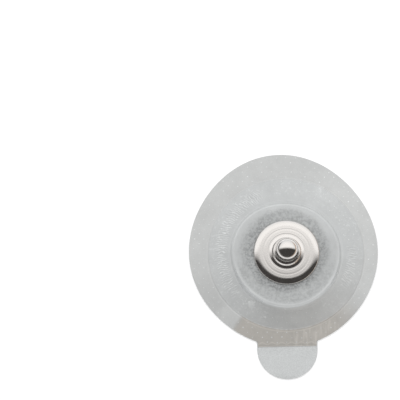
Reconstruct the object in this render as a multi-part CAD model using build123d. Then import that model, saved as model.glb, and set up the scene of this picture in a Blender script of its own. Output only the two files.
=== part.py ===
"""A snap-stud ECG electrode, lying on its release liner with the stud up.

A drawn metal stud is riveted through a translucent tape and a formed stiffening disc by the
post of a silver-chloride sensor. The disc makes a low round housing for a gel-soaked pad,
which touches the skin once the liner is pulled off by its half-round tab.

The origin is on the stud's axis, on the liner's underside. +Z is the way the stud points, and
the tab lies towards -Y. All lengths are in millimetres. Every layer is worked out from the one
below it, so that the stack stays seated when one thickness changes.
"""

import math
import os

from build123d import *

# The punched outline: a circle, with a strip towards -Y for the tape's neck and the liner's tab
tape_diameter = 30.0
punch_shift_x = -0.3  # the circle is punched a little off the stud's axis
punch_shift_y = 0.4
punch_turn = 1.5  # degrees, so that the strip doesn't run quite along -Y
corner_radius = 0.5  # where the circle runs into the strip

# Backing tape: film with a short neck that ends in a straight edge on the tab
tape_thickness = 0.10
neck_width = 9.2
neck_length = 0.35  # beyond the circle

# Release liner: a flat sheet with a half-round finger tab
liner_thickness = 0.15
tab_width = 9.5
tab_length = 5.35  # beyond the circle

# Stiffening disc: a formed film hat, flat outside and raised over the pad
disc_diameter = 24.4
disc_thickness = 0.15
cup_shift = 0.45  # the raised middle is formed this far off the stud's axis, towards the tab
crest_radius = 8.2  # the shoulder of the raised middle
wall_run = 0.45  # how far the steep wall reaches out from the crest to its foot
dish_rise = 0.15  # the crest stands this much above the seat of the stud
seat_margin = 0.1  # the flat seat reaches this far past the stud's rim
crest_rounding = 0.3  # of the tape's upper face, where the film thins over the crest
ramp_run = 0.3  # past the disc's edge the tape comes down to the liner over this run
ramp_gap = 0.1  # the ramp starts this far out from the disc's edge

# Gel pad: a soaked sponge that the sensor sinks into
gel_under_sensor = 0.4
pad_inset = 0.3  # from the crest in to the pad's upright wall
pad_clearance = 0.02

# Sensor: a flanged plug whose post is upset inside the stud's head
sensor_inset = 0.4  # its flange's edge lies this far inside the stud's rim
sensor_flange_thickness = 0.3
punched_hole_clearance = 0.08
upset_clearance = 0.02
tip_height = 0.7  # of the upset end's taper, above the top of the head's belt
tip_diameter = 1.8  # of its flat end

# Snap stud: drawn from one sheet
stud_sheet = 0.25
stud_diameter = 10.4
shoulder_run = 1.0  # the rounded shoulder of the flange, from its flat to its rim
shoulder_drop = 0.28
bead_place = 0.56  # of the way along the flat, from the collar to the shoulder
bead_width = 0.6
bead_height = 0.03
collar_diameter = 4.54
collar_height = 0.4
collar_rounding = 0.3  # where the sheet folds over the collar's top
neck_foot_rise = 0.1  # from the collar's edge in to the neck
neck_height = 0.3
undercut_depth = 0.33  # how far the neck lies inside the head
undercut_height = 0.3  # the head opens out from the neck over this height
head_diameter = 3.86
head_rounding = 0.35  # where the sheet folds in under the head's belt
head_belt = 0.4  # the upright band of the head, which a socket's spring runs over
crown_height = 1.4

# Radii that follow from them
tape_radius = tape_diameter / 2
disc_radius = disc_diameter / 2
stud_radius = stud_diameter / 2
flat_radius = stud_radius - shoulder_run
collar_radius = collar_diameter / 2
bead_radius = collar_radius + bead_place * (flat_radius - collar_radius)
head_radius = head_diameter / 2
stud_neck_radius = head_radius - undercut_depth
sensor_radius = stud_radius - sensor_inset
post_radius = stud_neck_radius - stud_sheet - upset_clearance
hole_radius = post_radius + punched_hole_clearance
shoulder_radius = (shoulder_run**2 + shoulder_drop**2) / (2 * shoulder_drop)

# Heights of the stack, from the liner up
liner_top = liner_thickness
sensor_bottom = liner_top + gel_under_sensor
disc_seat = sensor_bottom + sensor_flange_thickness
stud_seat = disc_seat + disc_thickness + tape_thickness
shoulder_centre = stud_seat - math.sqrt((shoulder_radius - stud_sheet) ** 2 - shoulder_run**2)
flat_height = shoulder_centre + shoulder_radius

# A cubic curve whose handles are this part of the radii follows a quarter of an oval
OVAL = 4 / 3 * (math.sqrt(2) - 1)

# How far the neck and the tab reach from the circle's centre
neck_reach = tape_radius + neck_length
tab_reach = tape_radius + tab_length

# The disc's underside, as points of radius and height from the raised middle's own axis
seat_reach = stud_radius + seat_margin + cup_shift
cup_path = [
    (0, disc_seat),
    (seat_reach, disc_seat),
    (crest_radius, disc_seat + dish_rise),
    (crest_radius + wall_run, liner_top),
    (disc_radius + cup_shift, liner_top),
]

# The outside of the stud from the head's belt down to the flange's flat, in the same way
neck_foot = flat_height + collar_height + neck_foot_rise
neck_top = neck_foot + neck_height
belt_bottom = neck_top + undercut_height
belt_top = belt_bottom + head_belt
stud_path = [
    (head_radius, belt_top),
    (head_radius, belt_bottom),
    (stud_neck_radius, neck_top),
    (stud_neck_radius, neck_foot),
    (collar_radius, flat_height + collar_height),
    (collar_radius, flat_height),
    (bead_radius - bead_width / 2, flat_height),
]
stud_roundings = [head_rounding, 0, 0, collar_rounding, 0]


def offset_path(path, distance):
    """The path moved to its left by a distance, with its corners mitred."""
    runs = [(Vector(*b) - Vector(*a)).normalized() for a, b in zip(path, path[1:])]
    lefts = [Vector(-run.Y, run.X) for run in runs]
    moved = []
    for point, before, after in zip(path, [lefts[0], *lefts], [*lefts, lefts[-1]]):
        shift = (before + after) * (distance / (1 + before.dot(after)))
        moved.append((point[0] + shift.X, point[1] + shift.Y))
    return moved


def section(*curves):
    """The face inside a closed outline of radius and height."""
    return make_face([edge for curve in curves for edge in curve.edges()])


def turned(face):
    """The solid that a section makes round the Z axis."""
    return revolve(Plane.XZ * face, Axis.Z)


def formed_sheet(path, thickness, roundings):
    """A round sheet of that thickness, whose underside follows the path, with those roundings
    at the corners of its upper face."""
    under = Polyline(*path)
    over = FilletPolyline(*offset_path(path, thickness), radius=roundings)
    outer_end = Line(under @ 1, over @ 1)
    inner_end = Line(over @ 0, under @ 0)
    return turned(section(under, outer_end, over, inner_end))


def formed_cup(below, thickness, rounding):
    """The raised middle of a sheet that lies that far above the disc's underside, on its own
    axis, trimmed to the disc's edge and with the hole for the post."""
    path = offset_path(cup_path, below)
    cup = Pos(0, -cup_shift) * formed_sheet(path, thickness, [0, rounding, 0])
    ring = Circle(disc_radius) - Circle(hole_radius)
    return cup & extrude(ring, stud_seat + dish_rise)


def punched_outline(width, straight_reach, end):
    """The circle with a strip of that width, straight as far as its reach, and an end piece,
    drawn from the circle's centre and then set where the punch struck."""
    strip = Pos(0, -straight_reach / 2) * Rectangle(width, straight_reach)
    outline = Circle(tape_radius) + strip + end
    corners = [
        vertex
        for vertex in outline.vertices()
        if math.isclose(abs(vertex.X), width / 2, abs_tol=0.001)
        and vertex.Y > 0.001 - straight_reach
    ]
    struck = Pos(punch_shift_x, punch_shift_y) * Rot(0, 0, punch_turn)
    return struck * fillet(corners, corner_radius)


def make_release_liner():
    """The flat sheet that the sticky side lies on, with its half-round tab."""
    straight_reach = tab_reach - tab_width / 2
    end = Pos(0, -straight_reach) * Circle(tab_width / 2)
    return extrude(punched_outline(tab_width, straight_reach, end), liner_thickness)


def make_stiffening_disc():
    """The formed disc: a flat flange, a steep wall and a slightly dished top."""
    return formed_cup(0, disc_thickness, 0)


def make_backing_tape():
    """The tape, draped over the disc and down onto the liner, and punched to its outline."""
    ramp_start = disc_radius + ramp_gap
    margin_path = [
        (disc_radius, liner_top + disc_thickness),
        (ramp_start, liner_top + disc_thickness),
        (ramp_start + ramp_run, liner_top),
        (tab_reach + tape_radius, liner_top),
    ]
    margin = formed_sheet(margin_path, tape_thickness, [0, 0])
    outline = punched_outline(neck_width, neck_reach, [])
    cup = formed_cup(disc_thickness, tape_thickness, crest_rounding)
    return cup + (margin & extrude(outline, stud_seat))


def make_gel_pad():
    """The pad: it fills the disc's raised middle, with a recess that the sensor fits."""
    pad_radius = crest_radius - pad_inset
    centre, seat, crest = offset_path(cup_path, -pad_clearance)[:3]
    slope = (crest[1] - seat[1]) / (crest[0] - seat[0])
    outline = Polyline(
        (0, liner_top),
        (pad_radius, liner_top),
        (pad_radius, seat[1] + slope * (pad_radius - seat[0])),
        seat,
        centre,
        close=True,
    )
    pad = Pos(0, -cup_shift) * turned(section(outline))
    recess = Pos(0, 0, sensor_bottom) * extrude(Circle(sensor_radius + pad_clearance), disc_seat)
    return pad - recess


def crown_curve(depth):
    """The crown of the head, that depth inside the metal."""
    radius = head_radius - depth
    height = crown_height - depth
    return Bezier(
        (radius, belt_top),
        (radius, belt_top + OVAL * height),
        (OVAL * radius, belt_top + height),
        (0, belt_top + height),
    )


def shoulder_curve(depth):
    """The falling shoulder of the flange, that depth inside the metal, out to the rim."""
    radius = shoulder_radius - depth
    rim_angle = math.degrees(math.acos(shoulder_run / radius))
    return CenterArc(
        (flat_radius, shoulder_centre), radius, start_angle=90, arc_size=rim_angle - 90
    )


def make_snap_stud():
    """The stud: a hollow ball head, a neck, a collar and a flange, drawn from one sheet."""
    crown = crown_curve(0)
    outside = FilletPolyline(*stud_path, radius=stud_roundings)
    bead = ThreePointArc(
        outside @ 1,
        (bead_radius, flat_height + bead_height),
        (bead_radius + bead_width / 2, flat_height),
    )
    shoulder = shoulder_curve(0)
    flat = Line(bead @ 1, shoulder @ 0)
    # The path runs down the outside, so that the metal lies to its right
    folds = offset_path(stud_path, -stud_sheet)[:-1]
    crown_inside = crown_curve(stud_sheet)
    shoulder_inside = shoulder_curve(stud_sheet)
    inside = Polyline(*folds, shoulder_inside @ 0)
    rim = Line(shoulder @ 1, shoulder_inside @ 1)
    axis = Line(crown_inside @ 1, crown @ 1)
    outer_curves = [crown, outside, bead, flat, shoulder]
    return turned(section(*outer_curves, rim, shoulder_inside, inside, crown_inside, axis))


def make_sensor_eyelet():
    """The sensor: a flange under the disc, and a post that fills the neck and swells inside
    the head, which holds the stud, the tape and the disc together."""
    belt, belt_foot, waist = offset_path(stud_path, -stud_sheet - upset_clearance)[:3]
    outline = Polyline(
        (0, sensor_bottom),
        (sensor_radius, sensor_bottom),
        (sensor_radius, disc_seat),
        (post_radius, disc_seat),
        waist,
        belt_foot,
        belt,
        (tip_diameter / 2, belt_top + tip_height),
        (0, belt_top + tip_height),
        close=True,
    )
    return turned(section(outline))


PIECES = {
    "release_liner": make_release_liner,
    "gel_pad": make_gel_pad,
    "stiffening_disc": make_stiffening_disc,
    "backing_tape": make_backing_tape,
    "snap_stud": make_snap_stud,
    "sensor_eyelet": make_sensor_eyelet,
}

if __name__ == "__main__":
    os.makedirs("parts", exist_ok=True)
    for name, make in PIECES.items():
        export_step(make(), f"parts/{name}.step")
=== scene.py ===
# %% [markdown]
# # A snap-stud ECG electrode on its release liner
#
# The real thing is a small laminate. A nickel-plated snap stands on a milky, finely perforated
# tape. Under the tape a formed clear disc houses a gel-soaked sponge, and a smooth liner with a
# half-round tab carries it all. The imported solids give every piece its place. This script keeps
# two of them and builds the others again with the fine relief that catches the light.

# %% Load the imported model
import math

import bpy
import numpy as np
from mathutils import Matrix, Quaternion, Vector


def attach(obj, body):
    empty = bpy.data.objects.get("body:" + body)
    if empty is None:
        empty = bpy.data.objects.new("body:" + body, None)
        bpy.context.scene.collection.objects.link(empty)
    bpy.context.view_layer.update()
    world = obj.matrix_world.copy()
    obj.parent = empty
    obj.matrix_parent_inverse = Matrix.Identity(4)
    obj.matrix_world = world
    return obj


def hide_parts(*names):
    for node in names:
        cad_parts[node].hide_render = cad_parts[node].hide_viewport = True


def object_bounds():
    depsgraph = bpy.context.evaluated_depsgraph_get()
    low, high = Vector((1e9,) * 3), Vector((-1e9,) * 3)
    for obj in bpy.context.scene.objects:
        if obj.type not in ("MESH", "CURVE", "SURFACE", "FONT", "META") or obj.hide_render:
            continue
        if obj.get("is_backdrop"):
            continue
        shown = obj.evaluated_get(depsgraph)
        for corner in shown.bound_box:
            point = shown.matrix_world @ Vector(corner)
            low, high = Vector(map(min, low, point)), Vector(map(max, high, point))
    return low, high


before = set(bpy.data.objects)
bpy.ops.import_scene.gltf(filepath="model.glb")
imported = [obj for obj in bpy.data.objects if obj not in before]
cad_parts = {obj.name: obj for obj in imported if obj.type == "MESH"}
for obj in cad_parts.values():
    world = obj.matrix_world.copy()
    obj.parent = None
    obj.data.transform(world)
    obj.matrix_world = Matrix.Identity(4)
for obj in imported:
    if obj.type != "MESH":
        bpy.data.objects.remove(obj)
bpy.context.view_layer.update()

MM = 0.001  # Blender works in metres, and every measure below is in millimetres
print("solids:", sorted(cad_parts))

# %% [markdown]
# ## The camera
#
# The electrode was photographed from almost straight above. Circles at different heights don't
# share one centre in the picture: the higher ones sit further up, and the flange is a little
# lower than it is wide. So the lens leans from the front by about 14 degrees. A long lens far
# away keeps the perspective weak, and a small lens shift puts the object in its place to the
# right of the middle without turning the view.

# %% Place the camera
FRAME_PIXELS = 400
PIXELS_PER_MM = 6.331  # at the height of the liner
FOOT_PIXEL = (286.07, 254.2)  # where the stud's axis meets the floor in the picture
CAMERA_DISTANCE = 350
CAMERA_LEAN = math.radians(14)
CAMERA_SIDE = math.radians(78)  # the direction that heights shift to, from +X towards +Y

away = Vector((-math.cos(CAMERA_SIDE), -math.sin(CAMERA_SIDE), 0))
camera_data = bpy.data.cameras.new("camera")
camera_data.sensor_width = 36
camera_data.lens = PIXELS_PER_MM * CAMERA_DISTANCE * camera_data.sensor_width / FRAME_PIXELS
camera_data.shift_x = (FRAME_PIXELS / 2 - FOOT_PIXEL[0]) / FRAME_PIXELS
camera_data.shift_y = (FOOT_PIXEL[1] - FRAME_PIXELS / 2) / FRAME_PIXELS
camera_data.clip_start = 10 * MM
camera = bpy.data.objects.new("camera", camera_data)
bpy.context.scene.collection.objects.link(camera)
camera.location = CAMERA_DISTANCE * MM * (
    math.sin(CAMERA_LEAN) * away + math.cos(CAMERA_LEAN) * Vector((0, 0, 1))
)
camera.rotation_mode = "QUATERNION"
camera.rotation_quaternion = Quaternion(Vector((-away.y, away.x, 0)), CAMERA_LEAN)
bpy.context.scene.camera = camera
bpy.context.scene.view_settings.view_transform = "Standard"
print(f"lens {camera_data.lens:.1f} mm at {CAMERA_DISTANCE} mm")

# %% [markdown]
# ## Small helpers for meshes
#
# Nearly every piece here is round, so it is made as rings of points: a ring per step of a
# profile, and a column of points per angle. Whole arrays of points and faces go into the mesh
# at once, which is quick and keeps the points in a known order, so that each can store a value.


# %% Turn arrays of points and faces into a piece
def ring_faces(rings, columns, closed=False):
    """Quads between neighbouring rings. Points run anticlockwise round +Z in a ring, and rings
    follow a profile whose left side is the outside. The last ring joins the first if closed."""
    ring = np.arange(rings if closed else rings - 1)[:, None]
    column = np.arange(columns)[None, :]
    onward = (ring + 1) % rings * columns
    beside = (column + 1) % columns
    here = ring * columns
    corners = [here + column, onward + column, onward + beside, here + beside]
    return np.stack(np.broadcast_arrays(*corners), axis=-1).reshape(-1, 4)


def capped(rings, poles):
    """Points and faces of a closed shell: rings of points from its top to its bottom, and two
    poles that fans of triangles join to the first and to the last ring."""
    count, columns = rings.shape[:2]
    points = np.vstack([rings.reshape(-1, 3), poles])
    top, bottom = len(points) - 2, len(points) - 1
    column = np.arange(columns)
    beside = (column + 1) % columns
    last = (count - 1) * columns
    first_fan = np.stack([np.full(columns, top), column, beside], axis=1)
    last_fan = np.stack([np.full(columns, bottom), last + beside, last + column], axis=1)
    return points, [ring_faces(count, columns), first_fan, last_fan]


def add_piece(name, points, faces, slot, values=None, crisp=35):
    """A mesh of points (mm) and a list of face arrays, smooth but for corners sharper than the
    crisp angle, with a value for each point in every named attribute. It rides on the root."""
    mesh = bpy.data.meshes.new(name)
    corners = np.concatenate([part.ravel() for part in faces]).astype(np.int32)
    sizes = np.concatenate([np.full(len(part), part.shape[1]) for part in faces])
    starts = np.concatenate([[0], np.cumsum(sizes)[:-1]]).astype(np.int32)
    mesh.vertices.add(len(points))
    mesh.vertices.foreach_set("co", (points * MM).astype(np.float32).ravel())
    mesh.loops.add(len(corners))
    mesh.polygons.add(len(starts))
    mesh.polygons.foreach_set("loop_start", starts)
    mesh.polygons.foreach_set("vertices", corners)
    mesh.update(calc_edges=True)
    mesh.validate()
    for attribute, amounts in (values or {}).items():
        stored = mesh.attributes.new(attribute, "FLOAT", "POINT")
        stored.data.foreach_set("value", amounts.astype(np.float32).ravel())
    mesh.shade_smooth()
    mesh.set_sharp_from_angle(angle=math.radians(crisp))
    piece = bpy.data.objects.new(name, mesh)
    bpy.context.scene.collection.objects.link(piece)
    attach(piece, "root")
    print(f"{name}: {len(points)} points, {int((sizes - 2).sum())} triangles")
    return piece


# %% [markdown]
# ## Small helpers for shapes
#
# A formed sheet is drawn as one path and its copies: the path moved sideways by each thickness,
# with its corners rounded. Wrinkles, pores and wet patches come from a smooth noise, which is
# the same at every run because its random numbers have a fixed seed.


# %% Paths, and a seeded noise
def moved_path(path, distance):
    """The path moved to its left: each point goes along the mean of its two runs' normals, by
    the distance over the cosine of half the turn."""
    path = np.asarray(path, float)
    runs = np.diff(path, axis=0)
    runs /= np.linalg.norm(runs, axis=1)[:, None]
    lefts = np.stack([-runs[:, 1], runs[:, 0]], axis=1)
    before = np.vstack([lefts[:1], lefts])
    after = np.vstack([lefts, lefts[-1:]])
    return path + (before + after) * distance / (1 + (before * after).sum(1))[:, None]


def rounded_path(path, radii, steps=8):
    """The path with an arc at each inner corner. The arc touches both runs, and its points are
    the corner's two tangent points blended by a conic of that turn."""
    path = np.asarray(path, float)
    pieces = [path[:1]]
    for before, corner, after, radius in zip(path, path[1:], path[2:], radii):
        run_in = (corner - before) / np.linalg.norm(corner - before)
        run_out = (after - corner) / np.linalg.norm(after - corner)
        half = math.acos(np.clip(run_in @ run_out, -1, 1)) / 2
        reach = radius * math.tan(half)
        blend = np.linspace(0, 1, steps)[:, None]
        start, end = corner - reach * run_in, corner + reach * run_out
        low, middle, high = (1 - blend) ** 2, 2 * blend * (1 - blend) * math.cos(half), blend**2
        arc = (low * start + middle * corner + high * end) / (low + middle + high)
        pieces.append(arc if radius else corner[None])
    return np.vstack([*pieces, path[-1:]])


def soft_step(value, start, end):
    """0 up to the start, 1 from the end on, and a smooth cubic between them."""
    part = np.clip((value - start) / (end - start), 0, 1)
    return part * part * (3 - 2 * part)


NOISE_TABLE = 1 << 14
PRIME_U, PRIME_V = 7919, 104729  # they scatter neighbouring places over the table


def noise(u, v, seed, period=4096):
    """Random values from -1 to 1 at whole u and v, blended smoothly between them. It repeats
    after the period in u, so that it can go round a circle without a seam."""
    table = np.random.default_rng(seed).uniform(-1, 1, NOISE_TABLE)
    u0, v0 = np.floor(u).astype(np.int64), np.floor(v).astype(np.int64)
    across, along = soft_step(u - u0, 0, 1), soft_step(v - v0, 0, 1)

    def corner(du, dv):
        return table[((u0 + du) % period * PRIME_U + (v0 + dv) * PRIME_V) % NOISE_TABLE]

    low = corner(0, 0) * (1 - across) + corner(1, 0) * across
    high = corner(0, 1) * (1 - across) + corner(1, 1) * across
    return low * (1 - along) + high * along


def clock(x, y):
    """The angle in degrees clockwise from +Y, from 0 to 360, as on a clock's face."""
    return np.degrees(np.arctan2(x, y)) % 360


def polar(x, y):
    """The distance from the axis, and the clock angle."""
    return np.hypot(x, y), clock(x, y)


def window(angle, start, end, soft_start, soft_end):
    """1 between two clock angles and 0 outside, with an edge of its own softness at each."""
    middle = (start + end) / 2
    offset = (angle - middle + 180) % 360 - 180
    half = (end - start) / 2
    rise = soft_step(offset, -half - soft_start / 2, -half + soft_start / 2)
    return rise * (1 - soft_step(offset, half - soft_end / 2, half + soft_end / 2))


def waves(turn, terms):
    """A sum of cosines of the clock angle, each as (count, size, clock angle of its peak)."""
    return sum(size * np.cos(np.radians(count * (turn - peak))) for count, size, peak in terms)


# %% [markdown]
# ## Small helpers for materials
#
# A material is a handful of nodes. One function makes a node with its settings and links in
# one line, and a few more make the kinds that come up again and again, so that each material
# below reads like a recipe.


# %% Nodes in one line
def new_material(name):
    """An empty material and a function that adds a node to it: values are set on the node's
    sockets, and a socket of another node given as a value is linked."""
    material = bpy.data.materials.new(name)
    material.use_nodes = True
    material.node_tree.nodes.clear()
    print("material", name)
    return material, node_maker(material.node_tree)


def node_maker(tree):
    """The function that adds a node of a kind to that tree, with its settings and inputs."""

    def add(kind, inputs=(), **settings):
        node = tree.nodes.new("ShaderNode" + kind)
        for setting, value in settings.items():
            setattr(node, setting, value)
        for socket, value in dict(inputs).items():
            if isinstance(value, bpy.types.NodeSocket):
                tree.links.new(value, node.inputs[socket])
            else:
                node.inputs[socket].default_value = value
        return node

    return add


def blended(add, factor, first, second):
    """The colour between two colours, by a factor."""
    return add("Mix", {0: factor, 6: first, 7: second}, data_type="RGBA").outputs[2]


def ranged(add, value, low, high, to_low, to_high):
    """The value's place between low and high, carried over to another range and kept in it."""
    inputs = {0: value, 1: low, 2: high, 3: to_low, 4: to_high}
    return add("MapRange", inputs).outputs[0]


def calculated(add, operation, *values):
    """The result of one sum, product or other operation."""
    return add("Math", dict(enumerate(values)), operation=operation).outputs[0]


def product(add, first, second):
    """The first value times the second."""
    return calculated(add, "MULTIPLY", first, second)


def total(add, first, *others):
    """The sum of all the values."""
    for other in others:
        first = calculated(add, "ADD", first, other)
    return first


def dimmed(add, colour, amount):
    """The colour times an amount."""
    return add("VectorMath", {0: colour, "Scale": amount}, operation="SCALE").outputs[0]


def point_value(add, name):
    """The value that the mesh stores at each point under that name."""
    return add("Attribute", attribute_name=name).outputs["Fac"]


def here(add):
    """The place on the piece, in its own space."""
    return add("TexCoord").outputs["Object"]


def grain(add, place, scale, detail=2.0, rough=0.5):
    """A noise from 0 to 1, with about that many grains to each unit of the place."""
    inputs = {"Vector": place, "Scale": scale, "Detail": detail, "Roughness": rough}
    return add("TexNoise", inputs).outputs[0]


def bumped(add, height, strength, depth, **more):
    """The normals of a face whose relief follows a height from 0 to 1, that deep in mm."""
    inputs = {"Height": height, "Strength": strength, "Distance": depth * MM, **more}
    return add("Bump", inputs).outputs[0]


def coated(add, colour, roughness, **more):
    """Finishes the material with one surface of that colour and roughness."""
    surface = add("BsdfPrincipled", {"Base Color": colour, "Roughness": roughness, **more})
    add("OutputMaterial", {0: surface.outputs[0]})


# %% [markdown]
# ## The studio
#
# The film is matt and lies under light from all sides, so its folds hardly shade. The stud is a
# mirror, and its look is the room it reflects: white behind and above, dark over the front where
# the camera stands and low down at the left, beige low down at the right, and a grey horizon. So
# the world is even for matt surfaces and holds that room, as plain gradients of the direction,
# for the rays that metal reflects. One large soft lamp from the back shades the wrinkles gently.

# %% The room that the metal reflects
ROOM_DARK = (0.055, 0.052, 0.05, 1)
ROOM_GREY = (0.42, 0.41, 0.40, 1)
ROOM_BEIGE = (0.62, 0.50, 0.41, 1)
ROOM_PALE = (0.84, 0.86, 0.88, 1)
ROOM_WHITE = (1.18, 1.17, 1.16, 1)
EVEN_LIGHT = (0.80, 0.795, 0.80, 1)
BOW = 0.09  # how far the border between dark and white bows forward at the sides

world = bpy.data.worlds.new("studio")
bpy.context.scene.world = world
world.use_nodes = True
world.node_tree.nodes.clear()
add = node_maker(world.node_tree)
direction = add("SeparateXYZ", {0: add("TexCoord").outputs["Generated"]})
to_right, to_back, up = (direction.outputs[axis] for axis in "XYZ")
bowed = calculated(add, "MULTIPLY_ADD", product(add, to_right, to_right), BOW, to_back)
behind = ranged(add, bowed, 0.06, 0.30, 0, 1)
right = ranged(add, to_right, 0.35, 0.8, 0, 1)
low = ranged(add, up, 0.38, 0.24, 0, 1)
low_left = product(add, low, ranged(add, to_right, -0.45, -0.75, 0, 0.9))
bright = blended(add, ranged(add, up, 0.15, 0.75, 0, 1), ROOM_PALE, ROOM_WHITE)
bright = blended(add, low_left, bright, ROOM_DARK)
bright = blended(add, product(add, low, right), bright, ROOM_BEIGE)
band = blended(add, right, ROOM_GREY, ROOM_BEIGE)
front = blended(add, ranged(add, up, 0.30, 0.16, 0, 1), ROOM_DARK, band)
mirrored = add("LightPath").outputs["Is Glossy Ray"]
light = blended(add, mirrored, EVEN_LIGHT, blended(add, behind, front, bright))
room = add("Background", {0: light, 1: 1.0})
add("OutputWorld", {0: room.outputs[0]})
print("room from", ROOM_DARK[:3], "to", ROOM_WHITE[:3])

# %% The soft lamp at the back
LAMP_PLACE = (-30, 200, 300)
LAMP_WIDE, LAMP_DEEP = 300, 240

lamp_data = bpy.data.lights.new("soft_lamp", "AREA")
lamp_data.shape = "RECTANGLE"
lamp_data.size, lamp_data.size_y = LAMP_WIDE * MM, LAMP_DEEP * MM
lamp_data.energy = 0.45
lamp = bpy.data.objects.new("soft_lamp", lamp_data)
bpy.context.scene.collection.objects.link(lamp)
lamp.location = Vector(LAMP_PLACE) * MM
lamp.rotation_mode = "QUATERNION"
lamp.rotation_quaternion = (-lamp.location).to_track_quat("-Z", "Y")
lamp.visible_glossy = False  # the room alone is mirrored, so the metal doesn't burn out
print("lamp of", round(lamp_data.energy, 2), "W at", LAMP_PLACE, "mm")

# %% The pale floor
FLOOR_HALF = 600
FLOOR_LEVEL = -0.005  # just under the liner, so that the two faces don't share a plane
FLOOR_GLOW = 0.2  # lifts the floor to white in the picture, and lights nothing

floor_mesh = bpy.data.meshes.new("floor")
corners = [(-1, -1), (1, -1), (1, 1), (-1, 1)]
floor_points = np.array([(x * FLOOR_HALF, y * FLOOR_HALF, FLOOR_LEVEL) for x, y in corners]) * MM
floor_mesh.from_pydata(floor_points.tolist(), [], [(0, 1, 2, 3)])
floor = bpy.data.objects.new("floor", floor_mesh)
bpy.context.scene.collection.objects.link(floor)
floor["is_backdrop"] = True

floor_white, add = new_material("floor_white")
seen = add("LightPath")
shown = calculated(add, "MAXIMUM", seen.outputs["Is Camera Ray"], seen.outputs["Is Glossy Ray"])
shown = calculated(add, "MAXIMUM", shown, seen.outputs["Is Transmission Ray"])
glow = add("Emission", {0: (1, 1, 1, 1), 1: product(add, shown, FLOOR_GLOW)})
paint = add("BsdfDiffuse", {0: (0.88, 0.88, 0.88, 1)})
white = add("AddShader", {0: glow.outputs[0], 1: paint.outputs[0]})
add("OutputMaterial", {0: white.outputs[0]})
floor_mesh.materials.append(floor_white)
print("floor", 2 * FLOOR_HALF, "mm wide")

# %% [markdown]
# ## The snap stud
#
# The stud is drawn from one sheet of brass and nickel plated: a hollow head, which is a dome on
# a bead, then a neck, a collar with a soft fillet, and a flange with coined rings and a falling
# shoulder. Its solid has flat facets that a mirror finish would show, so it is turned again as
# a fine surface. The outside and the inside are one closed profile, as thick as the sheet.

# %% Measures of the stud
SHEET = 0.25
STUD_RADIUS, STUD_SEAT = 5.2, 1.10
FLAT_RADIUS, FLAT_HEIGHT = 4.2, 1.681
DISHED = 0.012  # the flat falls outwards by this much for each millimetre
FILLET_RADIUS = 2.73  # where the collar's fillet runs out on the flat
COLLAR_TOP = 2.081
NECK_RADIUS, NECK_FOOT, NECK_TOP = 1.60, 2.15, 2.481
HEAD_RADIUS, BELT_BOTTOM, BELT_TOP = 1.93, 2.781, 3.04
DOME_RADIUS, DOME_FOOT, DOME_HEIGHT = 1.80, 3.26, 1.321
SHOULDER_DROP, ROLL_START, ROLL_RADIUS = 0.20, 5.02, 0.34
EVEN_SHARE = 0.16  # of the shoulder's drop
# Rings coined into the flat, each as (start, end, rise) of a step
COINED = [(2.90, 3.02, 0.0042), (3.45, 3.62, -0.0042), (3.72, 3.82, 0.0022), (3.95, 4.15, -0.0022)]
print("head", 2 * HEAD_RADIUS, "mm wide, flange", 2 * STUD_RADIUS, "mm")


# %% The stud's profile
def dome(depth, steps=44):
    """A quarter of an oval from the axis down to the dome's foot, that depth inside the metal:
    the radius goes with the sine and the height with the cosine of one parameter."""
    part = np.linspace(0, math.pi / 2, steps)
    radius, height = DOME_RADIUS - depth, DOME_HEIGHT - depth
    return np.stack([radius * np.sin(part), DOME_FOOT + height * np.cos(part)], axis=1)


def shoulder(depth, steps=22):
    """The falling shoulder from the flat to where the rim rolls over, that depth below the
    outside: a small share of the drop grows evenly with the distance, and the rest with its
    power of 2.4. The points stand closer together towards the rim."""
    run = np.linspace(0, 1, steps) ** 0.8
    radius = FLAT_RADIUS + (ROLL_START - FLAT_RADIUS) * run
    drop = SHOULDER_DROP * (EVEN_SHARE * run + (1 - EVEN_SHARE) * run**2.4)
    return np.stack([radius, FLAT_HEIGHT - depth - drop], axis=1)


def flat_top(radius):
    """Height of the flange's flat: it falls outwards a little, and rings are coined into it, each
    as a soft step up or down between two radii."""
    level = FLAT_HEIGHT + DISHED * (FLAT_RADIUS - radius)
    return level + sum(rise * soft_step(radius, start, end) for start, end, rise in COINED)


STUD_PATH = [  # (radius, height) down the outside, from the dome's foot to the flat
    (DOME_RADIUS, DOME_FOOT), (DOME_RADIUS - 0.01, 3.20), (1.87, 3.16),
    (HEAD_RADIUS, BELT_TOP), (HEAD_RADIUS, BELT_BOTTOM),
    (NECK_RADIUS, NECK_TOP), (NECK_RADIUS, NECK_FOOT),
    (2.10, COLLAR_TOP), (2.25, 1.875), (2.31, 1.79),
    (FILLET_RADIUS, flat_top(FILLET_RADIUS)), (FLAT_RADIUS, FLAT_HEIGHT),
]
STUD_CORNERS = [0.02, 0.02, 0.10, 0.15, 0.3, 0.3, 0.12, 0.08, 0.08, 0.08]
BACK_PATH = [  # the same down the inside
    (1.55, 3.26), (1.67, 3.00), (1.68, 2.84), (1.35, 2.54), (1.35, 1.90), (2.02, 1.82),
    (2.06, 1.50), (FLAT_RADIUS, FLAT_HEIGHT - SHEET),
]
BACK_CORNERS = [0.1, 0.1, 0.2, 0.3, 0.05, 0.05]

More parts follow.
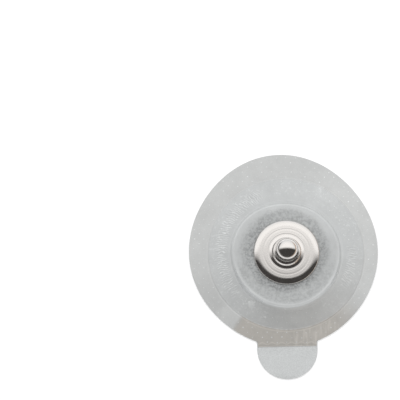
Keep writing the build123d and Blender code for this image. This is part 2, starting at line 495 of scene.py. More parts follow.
# %% The outside and the inside as one closed profile
outside = rounded_path(STUD_PATH, STUD_CORNERS)[:-1]
flange_radii = np.linspace(outside[-1, 0], FLAT_RADIUS, 90)[1:-1]
flange = np.stack([flange_radii, flat_top(flange_radii)], axis=1)
slope_run, slope_fall = shoulder(0)[-1] - shoulder(0)[-2]
slope = math.atan2(-slope_fall, slope_run)
roll = np.linspace(slope, math.pi / 2, 9)[1:, None]
rolled_by = np.hstack([np.sin(roll) - math.sin(slope), np.cos(roll) - math.cos(slope)])
rim = shoulder(0)[-1] + ROLL_RADIUS * rolled_by
print(f"the rim rolls over from {math.degrees(slope):.0f} degrees, out to {rim[-1, 0]:.3f} mm")
folds = rounded_path(BACK_PATH, BACK_CORNERS)
inside = np.vstack([folds[1:], shoulder(SHEET)[1:-1], [(STUD_RADIUS, STUD_SEAT)]])
outer = np.vstack([dome(0), outside[1:], flange, shoulder(0), rim])
stud_profile = np.vstack([outer, inside[::-1], dome(SHEET)[::-1]])
print("stud profile of", len(stud_profile), "points")


# %% Turn the profile
def turned(profile, columns):
    """A closed shell of revolution. The profile starts and ends on the axis: those two points
    become poles, and all others become rings of radius times cosine and sine."""
    angle = np.arange(columns) * 2 * math.pi / columns
    radius, height = profile[1:-1, 0:1], profile[1:-1, 1:2]
    level = np.broadcast_to(height, (len(radius), columns))
    rings = np.stack([radius * np.cos(angle), radius * np.sin(angle), level], axis=-1)
    return capped(rings, [(0, 0, profile[0, 1]), (0, 0, profile[-1, 1])])


stud = add_piece("stud_shell", *turned(stud_profile, 256), "nickel_plate", crisp=50)
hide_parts("snap_stud")

# %% [markdown]
# ## Nickel plate
#
# Plated pressings are bright but not perfect mirrors. The press tool leaves fine rings on the
# flange, and the plating has a faint grain. Both are too small to model, so they are a bump:
# one noise that reads only the distance from the axis, and one fine noise in all directions.

# %% Nickel for the stud
nickel, add = new_material("nickel")
place = here(add)
flat = add("VectorMath", {0: place, 1: (1, 1, 0)}, operation="MULTIPLY").outputs[0]
distance = add("VectorMath", {0: flat}, operation="LENGTH").outputs["Value"]
lathe = add("TexNoise", {"W": distance, "Scale": 9000.0, "Detail": 2.0}, noise_dimensions="1D")
rings = bumped(add, lathe.outputs[0], 0.25, 0.012)
relief = bumped(add, grain(add, place, 7000.0, 3.0), 0.3, 0.01, Normal=rings)
smudge = grain(add, place, 900.0)
tint = blended(add, smudge, (0.74, 0.715, 0.69, 1), (0.80, 0.78, 0.76, 1))
coated(add, tint, ranged(add, smudge, 0.3, 0.7, 0.09, 0.15), Metallic=1.0, Normal=relief)
stud.data.materials.append(nickel)

# %% [markdown]
# ## The sensor and the disc
#
# The silver-chloride sensor under the stud and the clear stiffening disc stay as the packed
# solids, because only a shade of them shows through the tape. Each gets its real finish: a
# matt grey coat for the sensor, and a slightly hazy clear film for the disc.

# %% Silver chloride, and clear film
silver, add = new_material("silver_chloride")
coat = grain(add, here(add), 4000.0)
shade = blended(add, coat, (0.34, 0.32, 0.31, 1), (0.50, 0.48, 0.47, 1))
coated(add, shade, 0.75, Normal=bumped(add, coat, 0.4, 0.01))

clear, add = new_material("clear_film")
haze = grain(add, here(add), 2500.0)
shade = blended(add, haze, (0.78, 0.80, 0.81, 1), (0.88, 0.90, 0.91, 1))
cover = ranged(add, haze, 0.3, 0.7, 0.12, 0.2)
coated(add, shade, 0.25, Alpha=cover, Normal=bumped(add, haze, 0.2, 0.01))

for node, material in (("sensor_eyelet", silver), ("stiffening_disc", clear)):
    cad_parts[node].data.materials.clear()
    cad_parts[node].data.materials.append(material)

# %% [markdown]
# ## The gel sponge
#
# The pad is an open-cell foam full of gel, squeezed under the sensor. Through the taut film
# near the stud its cells show as a fine dark speckle. Its solid is a plain block, so the foam
# is a surface of rings with pores pressed into it, with rounded shoulders where it bulges.

# %% The sponge's surface
CUP_SHIFT = 0.45  # the raised middle lies this far to the front of the stud's axis
PAD_PATH = [(0, 0.55), (4.82, 0.55), (4.86, 0.80), (5.6, 0.82), (7.9, 0.94), (7.9, 0.15), (0, 0.15)]
PORE_WIDTH, PORE_DEPTH = 0.22, 0.05

pad_corners = rounded_path(PAD_PATH, [0.02, 0.03, 0.1, 0.3, 0.1], steps=10)
pad_steps = np.concatenate([[0], np.cumsum(np.linalg.norm(np.diff(pad_corners, axis=0), axis=1))])
pad_along = np.unique(np.concatenate([pad_steps, np.arange(0, pad_steps[-1], 0.12)]))
pad_profile = np.stack([np.interp(pad_along, pad_steps, side) for side in pad_corners.T], axis=1)
sponge_points, sponge_faces = turned(pad_profile, 320)
pad_distance = np.hypot(*sponge_points.T[:2])
open_top = (sponge_points[:, 2] > 0.7) & (pad_distance > 5)
pores = noise(sponge_points[:, 0] / PORE_WIDTH, sponge_points[:, 1] / PORE_WIDTH, seed=3)
sponge_points[:, 2] -= PORE_DEPTH * open_top * np.clip(pores, 0, 1)
sponge_points[:, 1] -= CUP_SHIFT * soft_step(pad_distance, 5.0, 5.9)
sponge = add_piece("gel_sponge", sponge_points, sponge_faces, "gel_sponge")
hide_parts("gel_pad")

# %% Wet foam
foam, add = new_material("wet_foam")
place = here(add)
cells = add("TexVoronoi", {"Vector": place, "Scale": 4200.0, "Randomness": 1.0}).outputs["Distance"]
mottle = ranged(add, grain(add, place, 3000.0, 3.0, 0.7), 0.36, 0.64, 0, 1)
walls = ranged(add, cells, 0.15, 0.6, 1, 0)
foam_tone = product(add, total(add, mottle, walls), 0.5)
shade = blended(add, foam_tone, (0.05, 0.055, 0.055, 1), (0.64, 0.68, 0.69, 1))
coated(add, shade, 0.5, Normal=bumped(add, cells, 0.5, 0.03))
sponge.data.materials.append(foam)

# %% [markdown]
# ## The punched outline
#
# One die cuts the tape and the liner: a circle with a strip to the front. It struck a little
# off the stud's axis and a little turned. Every ray from the circle's centre meets the edge
# once, so the outline can be given as a distance for each angle. That makes each sheet a simple
# grid of rings that stretch to it.

# %% Distance to the edge for each angle
TAPE_RADIUS, SHIFT_X, SHIFT_Y = 15.0, -0.3, 0.4
PUNCH_TURN = math.radians(1.5)
NECK_HALF, NECK_START, NECK_END = 4.6, 14.28, 15.25  # it starts where its sides meet the circle
TAB_HALF, TAB_END = 4.72, 20.45
OUTLINE_WAVES = [
    (0, 0.13, 0), (1, 0.243, -24), (2, 0.322, 175.5), (3, 0.064, 120.7), (4, 0.117, 86.25),
]
CORNER_BLEND = 0.22
COLUMNS = 800


def struck(x, y):
    """A place on the die set where it struck: turned, and moved off the stud's axis."""
    cosine, sine = math.cos(PUNCH_TURN), math.sin(PUNCH_TURN)
    return SHIFT_X + cosine * x - sine * y, SHIFT_Y + sine * x + cosine * y


def circle_reach(angle):
    """The circle's radius, with a few slow waves of the angle, as uneven as the real cut."""
    return TAPE_RADIUS + waves(90 - np.degrees(angle), OUTLINE_WAVES)


def joined(first, second):
    """The larger of two distances, with the inner corner between them blended by a root."""
    return (first + second + np.sqrt((first - second) ** 2 + CORNER_BLEND**2)) / 2


def tape_reach(angle):
    """The circle joined with the neck: a ray leaves that strip at its side or at its end. The
    circle steps back by a millimetre behind the neck, so that the neck's end stays straight."""
    x, y = np.cos(angle), np.sin(angle)
    side = NECK_HALF / np.maximum(abs(x), 1e-9)
    end = NECK_END / np.maximum(-y, 1e-9)
    behind_neck = 1 - soft_step(abs(angle + math.pi / 2), 0.10, 0.26)
    strip = np.where(y < 0, np.minimum(side, end), 0)
    return joined(circle_reach(angle) - behind_neck, strip)


def liner_reach(angle):
    """The circle joined with the tab: a ray leaves it at a side, or else at the half round."""
    x, y = np.cos(angle), np.sin(angle)
    centre = TAB_END - TAB_HALF
    side = TAB_HALF / np.maximum(abs(x), 1e-9)
    along = -centre * y
    arc = along + np.sqrt(np.maximum(along**2 - centre**2 + TAB_HALF**2, 0))
    tab = np.where(-y * side < centre, side, arc)
    return joined(circle_reach(angle), np.where(y < 0, tab, 0))


def corner_angles(half, end):
    """The angles of a strip's two corners, which get columns of their own."""
    return np.arctan2(-end, [half, -half])


even = np.linspace(-math.pi, math.pi, COLUMNS, endpoint=False)
neck_side = np.arctan2(-NECK_START, NECK_HALF) + np.linspace(-0.02, 0.02, 13)
dense = np.concatenate([neck_side, -math.pi - neck_side, corner_angles(NECK_HALF, NECK_END)])
angles = np.unique(np.round(np.concatenate([even, dense]), 6))
print(len(angles), "columns; tape", round(2 * TAPE_RADIUS, 2), "mm across")

# %% [markdown]
# ## The tape's form
#
# The milky film is draped over the disc: flat on the seat, up to a crest round the gel, down a
# steep wall, out over the disc, and down a small step onto the liner. The raised middle has an
# axis of its own and isn't quite round, so the height is a sum of two profiles: one of the
# distance from that axis, less a few slow waves of the angle, and one of the distance from the
# stud. It is the main surface in view, so it has real relief too: wrinkles where it was pulled
# over the disc, trapped bubbles, and a slow waviness.

# %% The draped profiles
LINER_TOP = 0.15
FAR = 40  # past every edge
CUP_PATH = [(0, 0.85), (5.75, 0.85), (8.2, 1.0), (8.65, LINER_TOP), (FAR, LINER_TOP)]
DISC_THICKNESS, FILM = 0.15, 0.10
HOLE_RADIUS = 1.41
DISC_EDGE, STEP_FOOT = 12.26, 12.44
CREST_WAVES = [(1, 0.10, -21), (2, 0.08, -42), (3, 0.11, 58)]


def cup_place(x, y):
    """Distance and clock angle from the raised middle's own axis."""
    return polar(x, y + CUP_SHIFT)


def draped(x, y, level, crest, foot):
    """Height of a film's face that lies that far above the disc's underside, with those
    roundings at the raised middle's crest and foot."""
    cup = rounded_path(moved_path(CUP_PATH, level), [0, crest, foot], steps=14)
    step = [(0, 0), (DISC_EDGE, 0), (STEP_FOOT, -DISC_THICKNESS), (FAR, -DISC_THICKNESS)]
    step = rounded_path(step, [0.07, 0.09], steps=8)
    distance, turn = cup_place(x, y)
    oval = waves(turn, CREST_WAVES) * soft_step(distance, 5.8, 7.8)
    raised = np.interp(distance - oval, cup[:, 0], cup[:, 1])
    return raised + np.interp(np.hypot(x, y), step[:, 0], step[:, 1])


print(f"crest at {moved_path(CUP_PATH, DISC_THICKNESS + FILM)[2, 1]:.3f} mm")


# %% Wrinkles, bubbles and waves
def ridges(u, v, seed, period, sharpness):
    """Fine ridges: one minus the size of a noise, raised to a power, so that thin lines stand
    where the noise crosses zero."""
    return (1 - abs(noise(u, v, seed, period))) ** sharpness


WRINKLES = 190  # of them fit round the circle
FAN_AT = 250  # the clock angle where they point straight outwards


def pulled_bands(x, y):
    """Where the film is wrinkled: 1 in a band at the left and 0.8 in one at the right, each
    with ragged borders."""
    radius, turn = polar(x, y)
    ragged = radius + 0.35 * noise(turn / 3, radius, 13, period=120)
    left = window(turn, 232, 336, 16, 12) * soft_step(ragged, 9.3, 9.6)
    right = 0.8 * window(turn, 82, 120, 14, 12) * soft_step(ragged, 9.5, 9.9)
    return np.maximum(left, right) * (1 - soft_step(ragged, 10.9, 11.3))


def pulled_wrinkles(x, y):
    """Ridges that run outwards where the film was stretched over the disc: a noise with many
    cells round the circle and few along the radius. They lean like a fan."""
    radius, turn = polar(x, y)
    lean = 2.6 * np.sin(np.radians(turn - FAN_AT))
    sway = 0.9 * noise(turn / 6, radius * 1.6, 11, period=60)
    u = -turn / 360 * WRINKLES + lean * (radius - 10) + sway
    return 0.035 * ridges(u, radius / 1.1, 12, WRINKLES, 2.5) * pulled_bands(x, y)


BLISTERS = [  # (x, y, half width, half length, height)
    (-5.50, -8.28, 0.52, 0.70, 0.07), (-3.85, -10.0, 0.20, 0.34, 0.03),
    (-2.9, -9.7, 0.16, 0.24, 0.03), (-6.35, -8.9, 0.16, 0.26, 0.03),
    (2.2, 9.9, 0.22, 0.22, 0.03), (4.3, 9.2, 0.16, 0.24, 0.025), (6.9, 8.3, 0.2, 0.2, 0.03),
    (8.9, 5.5, 0.24, 0.2, 0.03), (9.8, 3.4, 0.18, 0.26, 0.025),
]


def oval_distance(x, y, centre_x, centre_y, wide, long):
    """Distance from an oval's centre, which is 1 on the oval itself."""
    return np.hypot((x - centre_x) / wide, (y - centre_y) / long)


def trapped_air(x, y):
    """Low blisters: each is a dome over its own oval and flat outside it. The first is the one
    large bubble at the front left."""
    lift = 0
    for *oval, height in BLISTERS:
        lift = lift + height * np.clip(1 - oval_distance(x, y, *oval) ** 2, 0, 1) ** 0.7
    return lift


def film_relief(x, y):
    """Everything that stands above the plain draped form, as a height at each point."""
    radius = np.hypot(x, y)
    outside_cup = soft_step(cup_place(x, y)[0], 9.0, 9.4)
    waviness = 0.010 * noise(x / 2.6, y / 2.6, 21) + 0.006 * noise(x / 0.9, y / 0.9, 22)
    lip = 0.012 * np.exp(-(((radius - DISC_EDGE + 0.08) / 0.06) ** 2))
    creases = 0.014 * ridges(x / 1.1, y / 1.1, 23, 4096, 8) * (radius > 9.6) * (radius < 12)
    return outside_cup * (waviness + creases + pulled_wrinkles(x, y) + trapped_air(x, y)) + lip


def film_top(x, y):
    """Height of the film's upper face, relief and all."""
    return draped(x, y, DISC_THICKNESS + FILM, 0.35, 0.25) + film_relief(x, y)


# %% The film as rings of points
INNER_RINGS = [HOLE_RADIUS, 3.0, 4.4, 5.15]
RING_RUNS = [(5.3, 7.7, 10), (7.82, 8.15, 4), (8.2, 9.1, 20), (9.2, 12.1, 35), (12.16, 12.52, 9)]
ring_radii = np.concatenate([INNER_RINGS, *(np.linspace(*run) for run in RING_RUNS)])


def placed_rings(nominal, angle):
    """Distances from the stud along each ray for rings that are round about the stud near it
    and at the disc's edge, and that follow the raised middle's oval between."""
    near_cup = soft_step(nominal, 5.4, 7.2) * (1 - soft_step(nominal, 9.6, 11.6))
    oval = nominal + waves(90 - np.degrees(angle), CREST_WAVES)
    across = (CUP_SHIFT * np.cos(angle)) ** 2
    round_cup = np.sqrt(oval**2 - across) - CUP_SHIFT * np.sin(angle)
    return nominal + near_cup * (round_cup - nominal)


def film_grid(die_angle):
    """The x and y of all rings: inner rings round the stud, then rings that stretch from the
    last of them to the punched edge."""
    reach = tape_reach(die_angle)
    edge = np.stack(struck(reach * np.cos(die_angle), reach * np.sin(die_angle)))
    angle = np.arctan2(edge[1], edge[0])
    inner = placed_rings(ring_radii[:, None], angle)
    inner = inner * np.stack([np.cos(angle), np.sin(angle)])[:, None]
    last = inner[:, -1:]
    outward = np.linspace(0, 1, 18)[1:, None]
    return np.concatenate([inner, last + outward * (edge[:, None] - last)], axis=1)


top = film_grid(angles)
kept_below = [0, 3, 7, 13, 16, *range(18, 38, 3), 40, 48, 60, 72, 75, 78, 81, top.shape[1] - 1]
under = top[:, kept_below[::-1]]  # the underside needs fewer rings
film_x, film_y = np.concatenate([top, under], axis=1)
film_height = np.vstack([film_top(*top), draped(*under, DISC_THICKNESS, 0.25, 0.35)])
film_points = np.stack([film_x, film_y, film_height], axis=-1)
print(f"film of {len(film_x)} rings, up to {film_height.max():.3f} mm high")

# %% [markdown]
# ## Light and dark in the film
#
# The film looks milky where air lies behind it. It is darker where the adhesive has wetted it,
# most of all at the front, and where the gel shows through. The wrinkles have whitened. Light
# and shade are painted in as well: highlights and shade on the raised middle's folds, a highlight
# along the disc's edge at the front and on the neck's cut end, and the stud flange's shadow on
# the gel. All this is stored at each point as values for the material: the grey relative to the
# dry film, how warm that grey is, how clear the film is, and where specks of air or streaks lie.


# %% How grey the margin and the disc are
def bell(value, middle, width):
    """1 at the middle and falling off on both sides, as e to the power of minus the square of
    the distance over the width."""
    return np.exp(-(((value - middle) / width) ** 2))


def turn_bell(turn, middle, width):
    """The same for a clock angle, which starts again after 360 degrees."""
    return bell((turn - middle + 180) % 360 - 180, 0, width)


def tones(turn, level, bells, windows=()):
    """A level with bells and windows of the clock angle added. Each is a tuple: what its own
    function asks for, and then its size."""
    tone = level + sum(size * turn_bell(turn, *bell_at) for *bell_at, size in bells)
    return tone + sum(size * window(turn, *edges) for *edges, size in windows)


# The margin past the disc is lightest at the upper right, and dark at the front between a soft
# border at the right and a sharp one at the left, with a half-dark strip beside it.
MARGIN_BELLS = [(46, 20, 0.04), (78, 24, 0.014), (184, 20, -0.028)]
MARGIN_WINDOWS = [(131, 215, 34, 3, -0.14), (215, 229, 3, 3, -0.045), (229, 252, 3, 40, -0.07)]
OUTER_BELLS = [(180, 62, -0.17), (30, 18, 0.018), (270, 20, -0.015)]
INNER_BELLS = [(92, 22, -0.022), (268, 22, -0.014)]
INNER_WINDOWS = [(60, 318, 60, 70, -0.037)]


def disc_grey(x, y, turn):
    """Over the disc: one wide soft dark bell at the front, a lighter patch at the right, and a
    lighter front on the raised middle, where the gel pad holds the film up."""
    patch = window(turn, 24, 44, 8, 4) * soft_step(np.hypot(x, y), 10.4, 10.7)
    outer = tones(turn, 1.01, OUTER_BELLS) + 0.02 * patch
    inner = tones(turn, 1.022, INNER_BELLS, INNER_WINDOWS)
    return outer + (inner - outer) * (1 - soft_step(cup_place(x, y)[0], 8.1, 8.6))


# %% How grey the whole film is, with painted light and shade on the folds
INNER_LINE = [(0, 8.22, 0), (1, 0.24, -17), (2, 0.14, -78), (3, 0.11, 58)]
OUTER_LINE = [(0, 8.73, 0), (1, 0.55, 15), (2, 0.04, 44), (3, 0.09, -55)]
EDGE_LINE = [(0, 8.51, 0), *CREST_WAVES]


def fold_light_and_shade(x, y):
    """Painted light and shade on the raised middle's folds: two thin painted highlights with a
    painted darker line between them, painted light on the wall that is broadest at the front,
    and a painted shade at the wall's foot."""
    distance, turn = cup_place(x, y)
    front = window(turn, 100, 252, 40, 40)
    nearest = turn_bell(turn, 178, 48)
    inner = distance - waves(turn, INNER_LINE)
    outer = distance - waves(turn, OUTER_LINE)
    edge = distance - waves(turn, EDGE_LINE)
    # two thin painted highlights along the crest
    light = 0.035 * (1 - 0.8 * nearest) * bell(inner, 0, 0.09)
    light = light + (0.020 + 0.014 * front) * bell(outer, 0.05 * nearest, 0.08)
    sides = 0.035 * (1 - turn_bell(turn, 0, 45))
    # painted light on the steep wall, broadest at the front where it faces away from the lamp
    painted_wall_light = (0.18 * turn_bell(turn, 172, 62) + sides) * bell(edge, 0.10, 0.42)
    # a painted darker line between the two highlights
    between = 0.02 * (1 - nearest) * bell(inner, 0.30, 0.09)
    between = between + 0.09 * nearest * bell(inner, 0.22, 0.10)
    # painted shade at the wall's foot, at the front
    foot = 0.055 * nearest * bell(edge, 0.42, 0.32)
    return light + painted_wall_light - between - foot


def film_grey(x, y):
    """The whole film's grey: margin and disc, the painted light and shade of the folds, and the
    line along the disc's edge, a painted highlight at the front and faintly dark elsewhere. The
    stud flange's shadow on the gel is painted in as well."""
    radius, turn = polar(x, y)
    past_disc = soft_step(radius, DISC_EDGE - 0.02, DISC_EDGE + 0.08)
    margin = tones(turn, 1.006, MARGIN_BELLS, MARGIN_WINDOWS)
    grey = disc_grey(x, y, turn) * (1 - past_disc) + margin * past_disc
    front = turn_bell(turn, 182, 42) * (0.8 + 0.4 * noise(turn / 1.7, 0 * turn, 34))
    wide = turn_bell(turn, 182, 75)
    # a painted highlight on the disc's edge and at the step's foot, at the front
    edge = 0.13 * front * bell(radius, DISC_EDGE, 0.09)
    edge = edge + 0.10 * wide * bell(radius, STEP_FOOT, 0.11)
    edge = edge - 0.012 * (1 - turn_bell(turn, 182, 60)) * bell(radius, DISC_EDGE, 0.08)
    bubble = 0.05 * (oval_distance(x, y, *BLISTERS[0][:2], 0.5, 0.68) < 1)
    # painted shadow of the stud's flange on the gel, towards the front
    shade = 0.055 * window(turn, 115, 235, 50, 40) * bell(radius, 5.7, 0.9)
    cloudy = 0.012 * noise(x / 1.3, y / 1.3, 31) + 0.008 * noise(x / 0.45, y / 0.45, 32)
    return grey + edge + fold_light_and_shade(x, y) + cloudy + bubble - shade


# %% How warm and how clear the film is, and where it is speckled or streaked
def film_warmth(x, y):
    """From 0, cool, to 1, warm: the margin is a little warm and its wet front far more so, and
    the disc's front is a little warm, but not the raised middle."""
    radius, turn = polar(x, y)
    margin = (0.12 + 0.88 * window(turn, 136, 214, 30, 5)) * (radius > DISC_EDGE)
    on_disc = (radius <= DISC_EDGE) & (cup_place(x, y)[0] > 8.5)
    return margin + 0.3 * turn_bell(turn, 160, 45) * on_disc


def clearness(x, y):
    """From 0, hazy, to 1, clear: the film is clear where the gel wets it, out to a border that
    is sharp at the back and softer and nearer elsewhere. At the front the rest is part clear."""
    distance, turn = cup_place(x, y)
    border = waves(turn, [(0, 6.65, 0), (1, 0.75, -14)]) + 0.15 * noise(x, y, 33)
    softness = 0.85 + 0.35 * turn_bell(turn, 265, 40) - 0.35 * turn_bell(turn, 10, 45)
    hazed = 1 - 0.25 * turn_bell(turn, 15, 60)
    wet = hazed * (1 - soft_step(distance, border - softness, border + softness))
    front = 0.42 * window(turn, 100, 262, 40, 30) * (1 - soft_step(distance, 7.5, 8.1))
    return np.maximum(wet, front)


SPECK_WINDOWS = [
    (-16, 40, 20, 16, 0.6), (45, 76, 10, 12, 0.7),
    (84, 140, 12, 16, 0.5), (205, 336, 12, 14, 0.6),
]
SPECK_PATCHES = [  # (x, y, half width, half length, size)
    (-3.4, -10.1, 0.6, 1.0, 1.3), (6.1, -8.1, 0.6, 0.6, 1.3),
    (-0.5, -9.2, 0.8, 0.25, 1.04), (-5.9, -7.9, 1.6, 0.5, 1.3),
]


def trapped_specks(x, y):
    """Where tiny pockets of air whiten the film: round the disc apart from its front, and in a
    few patches at the front."""
    radius, turn = polar(x, y)
    ring = soft_step(radius, 9.3, 9.8) * (1 - soft_step(radius, 12.0, 12.5))
    patches = sum(size * bell(oval_distance(x, y, *oval), 0, 1) for *oval, size in SPECK_PATCHES)
    return np.clip(ring * tones(turn, 0, [], SPECK_WINDOWS), 0, 1) + patches


def pulled_streaks(x, y):
    """Where the wet margin is streaked lengthwise, at the front right."""
    radius, turn = polar(x, y)
    return window(turn, 146, 177, 8, 6) * soft_step(radius, 12.4, 12.7)


# %% Store the values, and make the film
film_radius, film_turn = polar(film_x, film_y)
seamless = abs(film_turn - 180) < 175  # the clock angle starts again at the back
UNIT_AROUND = 1.8  # degrees for each unit of the stored place around the circle
fanned = 1.2 * np.sin(np.radians(film_turn - FAN_AT)) * (film_radius - 10)
neck_end = struck(0, -NECK_END)[1] + math.sin(PUNCH_TURN) * film_x
# A painted highlight along the neck's cut end, light and warm, with a thin darker line just inside
# it
cut_highlight = 1 - soft_step(film_y - neck_end, 0.02, 0.14)
near_cut = bell(film_y - neck_end, 0.20, 0.10)
film_values = {
    "grey": film_grey(film_x, film_y) + 0.12 * cut_highlight - 0.05 * near_cut,
    "warmth": film_warmth(film_x, film_y) + 1.5 * cut_highlight,
    "clearness": clearness(film_x, film_y),
    "air": trapped_specks(film_x, film_y),
    "streaks": pulled_streaks(film_x, film_y),
    "pulled": pulled_bands(film_x, film_y) * seamless,
    "around": film_turn / UNIT_AROUND + fanned,
    "outward": film_radius,
}
tape = add_piece(
    "tape_film",
    film_points.reshape(-1, 3),
    [ring_faces(len(film_x), len(angles), closed=True)],
    "tape_film",
    film_values,
)
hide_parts("backing_tape")

# %% [markdown]
# ## Milky film
#
# The tape is a matt polymer film. Its colour is one cool pale grey, darkened by the stored grey
# and warmed by the stored warmth, and the sponge shows where the film is clear, with a dark
# speckle of its cells. Marks too fine for the mesh are laid over it: specks of air, combed
# streaks, a scalloped line on the neck that follows the spacing of the holes, and hair-thin
# wrinkles. Those are a sine of the stored place around the circle, swayed and broken into
# dashes by noise. A very fine grain breaks up the highlight, as the embossed face of such a
# film does.

# %% The film's shade
DRY_FILM = (0.541, 0.556, 0.553, 1)
WARM_FILM = (0.580, 0.556, 0.512, 1)
GREY_POWER = 2.3  # the eye's greys follow about this root of the light

film_finish, add = new_material("milky_film")
place = here(add)
grey, clear = point_value(add, "grey"), point_value(add, "clearness")
fine = grain(add, place, 5200.0, 3.0, 0.65)
speckled = ranged(add, fine, 0.3, 0.7, 0.965, 1.035)
clouded = ranged(add, grain(add, place, 420.0, 3.0), 0.3, 0.7, 0.985, 1.015)
shaded = product(add, product(add, clouded, speckled), calculated(add, "POWER", grey, GREY_POWER))
cells = ranged(add, grain(add, place, 3000.0, 2.0, 0.6), 0.36, 0.60, -0.29, 0.16)
shaded = calculated(add, "MULTIPLY_ADD", shaded, product(add, clear, cells), shaded)
print("film colour", DRY_FILM[:3], "wet", WARM_FILM[:3])

# %% Specks of air, streaks and the scalloped line
PITCH = 1.53  # from hole to hole along a row, and from scallop to scallop
SCALLOP, LINE_PLACE = 0.17, 14.38  # half the scallops' height, and how far in front they lie
LINE_CORE, LINE_EDGE = 0.03, 0.15

pockets = ranged(add, grain(add, place, 2300.0, 1.5, 0.55), 0.57, 0.67, 0, 0.20)
specks = product(add, point_value(add, "air"), pockets)
slanted = add("Mapping", {"Vector": place, "Rotation": (0, 0, -0.16), "Scale": (2700, 420, 0)})
combed = ranged(add, grain(add, slanted.outputs[0], 1.0, 1.0), 0.45, 0.7, 0, 0.17)
combed = product(add, point_value(add, "streaks"), combed)
parts = add("SeparateXYZ", {0: place})
phase = product(add, parts.outputs["X"], 2 * math.pi / (PITCH * MM))
scallop = product(add, calculated(add, "COSINE", phase), SCALLOP * MM)
scallop = calculated(add, "MULTIPLY_ADD", parts.outputs["X"], -math.sin(PUNCH_TURN), scallop)
off_line = total(add, parts.outputs["Y"], scallop, LINE_PLACE * MM)
off_line = calculated(add, "ABSOLUTE", off_line)
line = ranged(add, off_line, LINE_CORE * MM, LINE_EDGE * MM, 0.16, 0)
print("scallops", PITCH, "mm apart")

# %% Hair-thin wrinkles
TEETH, SWAY = 5.6, 14.0  # radians of the comb to each unit around, and of its sway

around, outward = point_value(add, "around"), point_value(add, "outward")
fan = add("CombineXYZ", {"X": product(add, around, 0.34), "Y": outward}).outputs[0]
sway = grain(add, fan, 1.0, 1.5, 0.6)
comb = calculated(add, "MULTIPLY_ADD", sway, SWAY, product(add, around, TEETH))
comb = ranged(add, calculated(add, "SINE", comb), -0.6, 0.95, -0.06, 0.17)
comb = product(add, point_value(add, "pulled"), comb)
broken = add("CombineXYZ", {"X": around, "Y": product(add, outward, 1.6)}).outputs[0]
dashes = ranged(add, grain(add, broken, 0.9, 1.0), 0.35, 0.62, 0.35, 1.5)
marks = total(add, specks, combed, line, product(add, comb, dashes))
print(f"{360 / UNIT_AROUND * TEETH / (2 * math.pi):.0f} wrinkles would go round the circle")

# %% Put the film together
shaded = calculated(add, "MULTIPLY_ADD", shaded, marks, shaded)
tone = dimmed(add, blended(add, point_value(add, "warmth"), DRY_FILM, WARM_FILM), shaded)
cover = ranged(add, clear, 0, 1, 0.97, 0.55)
relief = bumped(add, fine, 0.35, 0.01)
coated(add, tone, ranged(add, grey, 0.8, 1, 0.4, 0.5), Alpha=cover, Normal=relief)
tape.data.materials.append(film_finish)

# %% [markdown]
# ## Perforations
#
# The tape breathes through rows of pin holes. Each was pushed through from behind and has left
# a tiny crater, and the rows are staggered by half a pitch. A crater is three small rings of
# eight points, and all are copies of one shape set on the film.

# %% Where the holes are
ROW = 0.79  # from row to row
NEAREST_HOLE, EDGE_GAP = 9.6, 0.25  # from the stud's axis, and from the disc's edge and the cut

rows, places = np.meshgrid(np.arange(-20, 21), np.arange(-12, 13), indexing="ij")
hole_x = (places + 0.5 * (rows % 2)) * PITCH + 0.02
hole_y = rows * ROW - 0.03
seeds = np.random.default_rng(41)
hole_x = (hole_x + seeds.normal(0, 0.04, hole_x.shape)).ravel()
hole_y = (hole_y + seeds.normal(0, 0.04, hole_y.shape)).ravel()
hole_size = seeds.uniform(0.6, 1.05, hole_x.shape)
off_x, off_y = hole_x - SHIFT_X, hole_y - SHIFT_Y
hole_reach = tape_reach(np.arctan2(off_y, off_x) - PUNCH_TURN)
hole_radius = np.hypot(hole_x, hole_y)
kept = np.hypot(off_x, off_y) < hole_reach - EDGE_GAP
kept &= (hole_radius > NEAREST_HOLE) & (abs(hole_radius - DISC_EDGE) > EDGE_GAP)
hole_x, hole_y, hole_size = hole_x[kept], hole_y[kept], hole_size[kept]
hole_radius, hole_turn = polar(hole_x, hole_y)
strained = window(hole_turn, 38, 112, 10, 20)
hole_size *= np.where(hole_radius < DISC_EDGE, 0.5 + 0.5 * strained, 1)
print(len(hole_x), "holes")

# %% A crater at each hole
CRATER = [(0, 0.004), (0.03, 0.006), (0.07, 0.030), (0.125, -0.012), (0, -0.012)]
crater, crater_parts = turned(np.array(CRATER), 8)
centres = np.stack([hole_x, hole_y, film_top(hole_x, hole_y)], axis=1)
crater_points = (crater * hole_size[:, None, None] + centres[:, None]).reshape(-1, 3)
first = np.arange(len(centres))[:, None, None] * len(crater)
crater_faces = [(part + first).reshape(-1, part.shape[1]) for part in crater_parts]
faded = seeds.uniform(-0.07, 0.02, len(centres))
faded = (faded + 0.07 * window(hole_turn, 131, 215, 20, 5)).repeat(len(crater))
crater_grey = film_grey(*crater_points.T[:2]) + faded
craters = add_piece(
    "perforations", crater_points, crater_faces, "tape_film", {"grey": crater_grey}, crisp=80
)

# %% [markdown]
# The craters have stretched film on their rims, so they are paler and shinier than the rest.

# %% Material of the craters
stretched, add = new_material("stretched_film")
fine = grain(add, here(add), 9000.0)
shade = blended(add, fine, (0.62, 0.635, 0.63, 1), (0.74, 0.755, 0.75, 1))
shade = dimmed(add, shade, calculated(add, "POWER", point_value(add, "grey"), GREY_POWER))
coated(add, shade, 0.35)
craters.data.materials.append(stretched)

# %% [markdown]
# ## The release liner
#
# The liner is a smooth, slightly translucent sheet under everything, and its tab is the only
# part in view. It lies flat under the tape, and the free end of the tab lifts by a hair. It is
# a grid of rings like the tape, with a gently rounded cut edge.

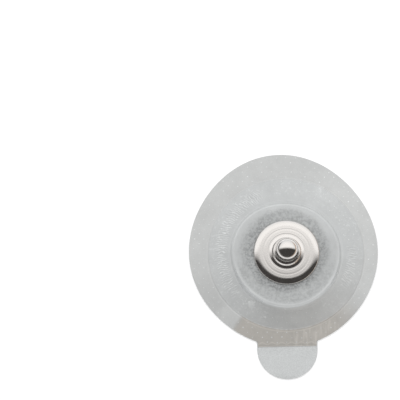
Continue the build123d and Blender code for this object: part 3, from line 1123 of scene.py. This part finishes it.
# %% The liner as rings of points
SHEET_RINGS = 26
EDGE_INSETS, EDGE_DEPTHS = [0.012, 0, 0, 0.012], [0.012, 0.04, 0.11, 0.138]

tab_corners = corner_angles(TAB_HALF, TAB_END - TAB_HALF)
liner_angles = np.unique(np.round(np.concatenate([even[::2], dense, tab_corners]), 6))
liner_edge = liner_reach(liner_angles)
sheet_radii = np.linspace(0.02, 1, SHEET_RINGS)[:, None] * (liner_edge - 0.03)
edge_radii = liner_edge - np.array(EDGE_INSETS)[:, None]
liner_radii = np.vstack([sheet_radii, edge_radii, sheet_radii[::-1]])
depths = np.concatenate([np.zeros(SHEET_RINGS), EDGE_DEPTHS, np.full(SHEET_RINGS, LINER_TOP)])
die_x, die_y = liner_radii * np.cos(liner_angles), liner_radii * np.sin(liner_angles)
liner_x, liner_y = struck(die_x, die_y)
lift = 0.10 * soft_step(-die_y, 15.6, TAB_END) ** 1.5
lift = lift + 0.01 * soft_step(-die_y, 15.4, 16.4) * (1 + noise(liner_x / 2, liner_y / 2, 51))
liner_rings = np.stack([liner_x, liner_y, LINER_TOP - depths[:, None] + lift], axis=-1)
liner_poles = [(SHIFT_X, SHIFT_Y, LINER_TOP), (SHIFT_X, SHIFT_Y, 0)]
liner = add_piece("liner_sheet", *capped(liner_rings, liner_poles), "liner_sheet")
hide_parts("release_liner")

# %% Siliconed sheet
SHEET_GREY = (0.567, 0.584, 0.581)

sheet_finish, add = new_material("siliconed_sheet")
place = here(add)
fine = grain(add, place, 5000.0, 4.0, 0.7)
grainy = ranged(add, fine, 0.3, 0.7, 0.85, 1.12)
clouded = ranged(add, grain(add, place, 500.0), 0.3, 0.7, 0.98, 1.02)
shade = dimmed(add, SHEET_GREY, product(add, grainy, clouded))
coated(add, shade, 0.55, Normal=bumped(add, fine, 0.3, 0.01))
liner.data.materials.append(sheet_finish)

# %% [markdown]
# ## The last step
#
# The visual model's box is measured and printed in millimetres. The visual model has to stay
# inside the solid model's box, give or take a few percent.

# %% Print the visual box, and finish
low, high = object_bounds()
print("visual box (mm):", [round(side / MM, 2) for side in high - low])
